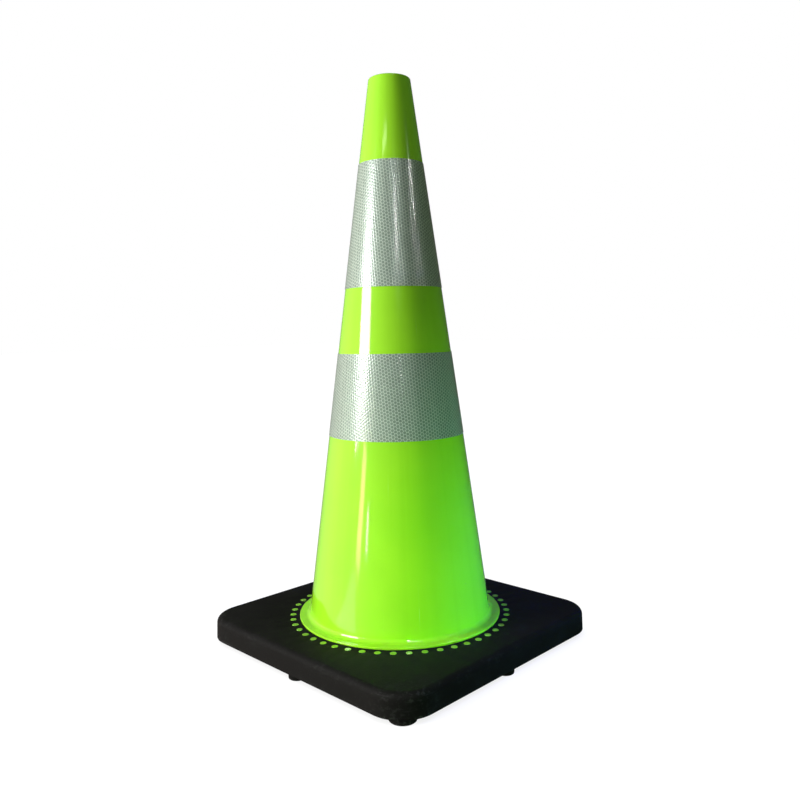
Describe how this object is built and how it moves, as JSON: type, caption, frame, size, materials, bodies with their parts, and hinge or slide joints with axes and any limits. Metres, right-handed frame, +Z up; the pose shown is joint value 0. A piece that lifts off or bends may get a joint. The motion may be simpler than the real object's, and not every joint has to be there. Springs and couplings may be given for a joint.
{
  "type": "traffic cone",
  "caption": "Hollow lime cone with two honeycomb reflective collars, locked into a heavy square black base on round foot pads.",
  "frame": {"origin": "on the floor under the cone's axis, at the level of the undersides of the feet", "axes": "+Z up the cone's axis; the base's sides run along X and Y"},
  "size_m": [0.36, 0.36, 0.7],
  "materials": {
    "lime_body": "glossy soft PVC, fluorescent lime, lightly scuffed",
    "black_base": "matte black recycled PVC with a fine moulded texture and pale rub marks on the edges",
    "collar_backing": "white vinyl film",
    "collar_prismatic": "clear prismatic film, grey cells with paler honeycomb weld lines"
  },
  "bodies": {
    "root": {"base": "black_base", "cone_body": "lime_body", "upper_collar_backing": "collar_backing", "upper_collar_face": "collar_prismatic", "lower_collar_backing": "collar_backing", "lower_collar_face": "collar_prismatic"}
  },
  "joints": []
}
